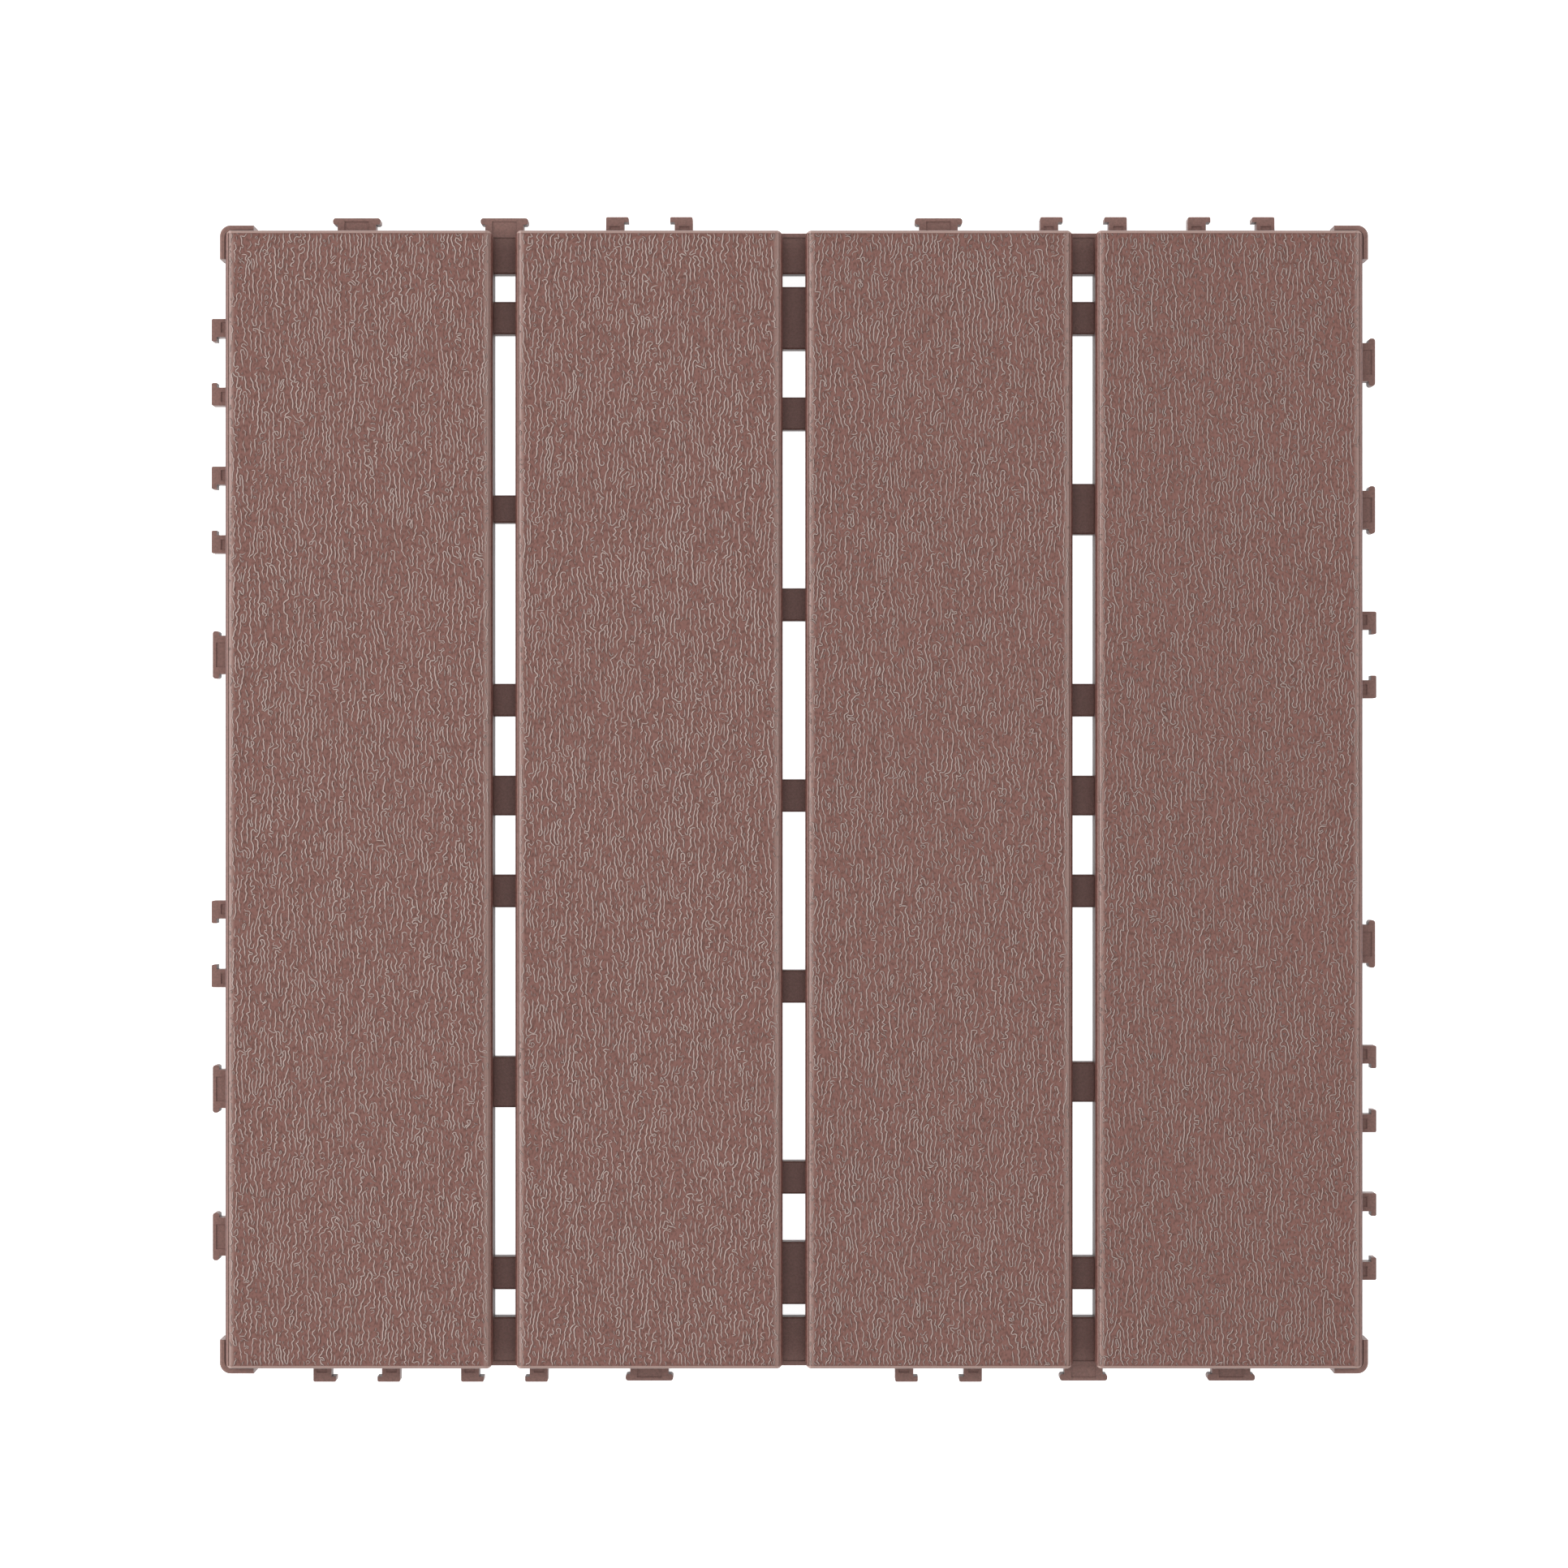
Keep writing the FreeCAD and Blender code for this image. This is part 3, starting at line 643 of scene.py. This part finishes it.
@dataclass(frozen=True)
class PlasticFinish:
    """A matte moulded plastic; where it has a foot shade colour, its strips get a painted highlight on their
    crests and painted shade at their feet.
    """

    name: str
    colour: Colour
    dark: Colour
    roughness: float
    stipple: float
    field: float
    foot_shade: Colour | None = None
    # The pale painted light colour: a painted highlight on the rims and painted light on the parts below the
    # slats' tops.
    painted_light_colour: Colour = srgb(166, 138, 130)
    sheen: float = 0.3
    refraction: float = 1.49
    crest_levels: Span = (0.36, 0.86)

    def build(self) -> bpy.types.Material:
        """Make the material.

        Returns:
            The material.
        """
        material = bpy.data.materials.new(self.name)
        material.use_nodes = True
        graph = NodeGraph(material.node_tree)
        shader = material.node_tree.nodes["Principled BSDF"]
        shader.inputs["Specular IOR Level"].default_value = self.sheen
        shader.inputs["IOR"].default_value = self.refraction
        surface = graph.add("ShaderNodeGroup")
        surface.node_tree = MouldedSurface().build()
        for label, value in (("Colour", self.colour), ("Dark", self.dark), ("Roughness", self.roughness),
                             ("Stipple", self.stipple), ("Field", self.field), ("Painted Light Colour", self.painted_light_colour)):
            surface.inputs[label].default_value = value
        colour = surface.outputs["Colour"]
        if self.foot_shade is not None:
            # Painted light: the shading level mixes the foot's painted shade with the surface colour, which on
            # the raised grain is pale as a painted highlight.
            crest_shading = graph.add("ShaderNodeAttribute")
            crest_shading.attribute_name = SHADING_ATTRIBUTE
            crisp = graph.ramp(crest_shading.outputs["Fac"], *self.crest_levels)
            colour = graph.mix("RGBA", crisp, self.foot_shade, colour).outputs["Result"]
        graph.link(colour, shader.inputs["Base Color"])
        graph.link(surface.outputs["Roughness"], shader.inputs["Roughness"])
        graph.link(surface.outputs["Normal"], shader.inputs["Normal"])
        return material


class Finish(Enum):
    """The tile's finishes."""

    BODY = PlasticFinish("brown_moulded_plastic", srgb(130, 90, 82), srgb(104, 70, 62), 0.4, 0.35, 1.0)
    # The raised grain's pale colours are a painted highlight on its crests, and its last colour is the painted
    # shade at its feet.
    GRAIN = PlasticFinish("raised_grain_plastic", srgb(197, 175, 168), srgb(180, 155, 148), 0.35, 0.1, 0.0,
                          srgb(50, 30, 26))


@dataclass(frozen=True)
class Lamp:
    """A soft square lamp that points at the tile, in metres and watts."""

    name: str
    place: tuple[float, float, float]
    size: float
    watts: float

    def build(self) -> None:
        """Add the lamp to the scene."""
        data = bpy.data.lights.new(self.name, "AREA")
        data.size = self.size
        data.energy = self.watts
        lamp = bpy.data.objects.new(self.name, data)
        lamp.location = self.place
        lamp.rotation_euler = (-Vector(self.place)).to_track_quat("-Z", "Y").to_euler()
        bpy.context.scene.collection.objects.link(lamp)


@dataclass(frozen=True)
class Studio:
    """The floor, the light and the camera straight above the tile."""

    camera_place: Span = (-2.60, 4.02)
    camera_distance: float = 1650.0
    view_width: float = 406.5
    sensor: float = 36.0
    clip: Span = (0.01, 20.0)
    floor_reach: float = 3.0
    floor_depth: float = 0.0003
    floor_colour: Colour = (0.8, 0.8, 0.8, 1.0)
    floor_glow: float = 0.92
    horizon: float = 0.7
    zenith: float = 0.12
    lamps: tuple[Lamp, ...] = (Lamp("left_lamp", (-1.8, 0.2, 0.85), 1.2, 24.0),
                               Lamp("right_lamp", (1.8, 0.3, 0.8), 1.2, 10.0),
                               Lamp("back_lamp", (-0.1, 1.0, 1.4), 0.7, 1.8),
                               Lamp("front_lamp", (-0.1, -1.0, 1.4), 0.7, 1.8),
                               Lamp("overhead_lamp", (0.0, 0.0, 1.9), 1.9, 15.0))

    def add_camera(self, layout: SlatLayout) -> None:
        """Add the camera that looks straight down.

        Args:
            layout: the slats, whose tops the camera's distance counts from.
        """
        data = bpy.data.cameras.new("camera")
        data.sensor_width = self.sensor
        data.lens = self.sensor * self.camera_distance / self.view_width
        data.clip_start, data.clip_end = self.clip
        camera = bpy.data.objects.new("camera", data)
        camera.location = Vector((*self.camera_place, layout.height + self.camera_distance)) * MM
        bpy.context.scene.collection.objects.link(camera)
        bpy.context.scene.camera = camera

    def floor_material(self) -> bpy.types.Material:
        """Make the material that keeps the tile's shadow and looks white to the camera.

        Returns:
            The material.
        """
        material = bpy.data.materials.new("white_floor")
        material.use_nodes = True
        material.node_tree.nodes.clear()
        graph = NodeGraph(material.node_tree)
        path = graph.add("ShaderNodeLightPath").outputs
        seen = graph.math("MAXIMUM", path["Is Camera Ray"], path["Is Glossy Ray"])
        seen = graph.math("MAXIMUM", seen, path["Is Transmission Ray"])
        glow = graph.add("ShaderNodeEmission", Color=WHITE)
        graph.link(graph.math("MULTIPLY", seen, self.floor_glow), glow.inputs["Strength"])
        rough = graph.add("ShaderNodeBsdfDiffuse", Color=self.floor_colour)
        both = graph.add("ShaderNodeAddShader")
        graph.link(rough.outputs[0], both.inputs[0])
        graph.link(glow.outputs[0], both.inputs[1])
        graph.link(both.outputs[0], graph.add("ShaderNodeOutputMaterial").inputs["Surface"])
        return material

    def add_floor(self) -> None:
        """Add the white floor just under the feet."""
        mesh = bpy.data.meshes.new("floor")
        corners = [(x * self.floor_reach, y * self.floor_reach, -self.floor_depth)
                   for x, y in ((-1, -1), (1, -1), (1, 1), (-1, 1))]
        mesh.from_pydata(corners, [], [(0, 1, 2, 3)])
        mesh.materials.append(self.floor_material())
        floor = bpy.data.objects.new("floor", mesh)
        bpy.context.scene.collection.objects.link(floor)

    def add_light(self) -> None:
        """Add the lamps and the pale surroundings, which are brighter towards the horizon."""
        for lamp in self.lamps:
            lamp.build()
        world = bpy.data.worlds.new("surroundings")
        world.use_nodes = True
        graph = NodeGraph(world.node_tree)
        split = graph.add("ShaderNodeSeparateXYZ")
        graph.link(graph.add("ShaderNodeTexCoord").outputs["Generated"], split.inputs[0])
        dome = graph.add("ShaderNodeMapRange", To_Min=self.horizon, To_Max=self.zenith)
        graph.link(split.outputs["Z"], dome.inputs["Value"])
        seen = graph.add("ShaderNodeLightPath").outputs["Is Camera Ray"]
        strength = graph.mix("FLOAT", seen, dome.outputs["Result"], 1.0).outputs["Result"]
        back = world.node_tree.nodes["Background"]
        back.inputs["Color"].default_value = WHITE
        graph.link(strength, back.inputs["Strength"])
        bpy.context.scene.world = world


@dataclass(frozen=True)
class DeckTile:
    """The moulded tile, and the raised grain on its slats."""

    layout: SlatLayout = SlatLayout()
    # Strength of the painted highlight on each slat's crests, stronger nearer the left lamp.
    crest_highlights: tuple[float, ...] = (1.0, 1.0, 0.92, 0.87)
    first_seed: int = 100
    seed_step: int = 10

    def dress_body(self) -> None:
        """Give the moulding its finish."""
        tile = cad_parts["deck_tile"]
        tile.data.materials.clear()
        tile.data.materials.append(Finish.BODY.value.build())
        log.info("deck_tile: %d faces", len(tile.data.polygons))

    def add_grain(self) -> None:
        """Add the raised grain, whose crests get a stronger painted highlight on the slats nearer to the left
        lamp.
        """
        finish = Finish.GRAIN.value.build()
        for index, crest_highlight in enumerate(self.crest_highlights):
            seed = self.first_seed + self.seed_step * index
            grain = RaisedGrain(f"raised_grain_{index + 1}", index, self.layout, GrainPattern(), seed, crest_highlight)
            piece = grain.build()
            piece.data.materials.append(finish)
            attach(piece, "root")
            triangles = sum(len(face.vertices) - 2 for face in piece.data.polygons)
            log.info("%s: %d strips, %d triangles", piece.name, grain.strips, triangles)


def main() -> None:
    """Dress the tile, light it and place the camera."""
    tile, studio = DeckTile(), Studio()
    tile.dress_body()
    tile.add_grain()
    studio.add_camera(tile.layout)
    studio.add_floor()
    studio.add_light()
    bpy.context.scene.view_settings.view_transform = "Standard"


if __name__ == "__main__":
    main()
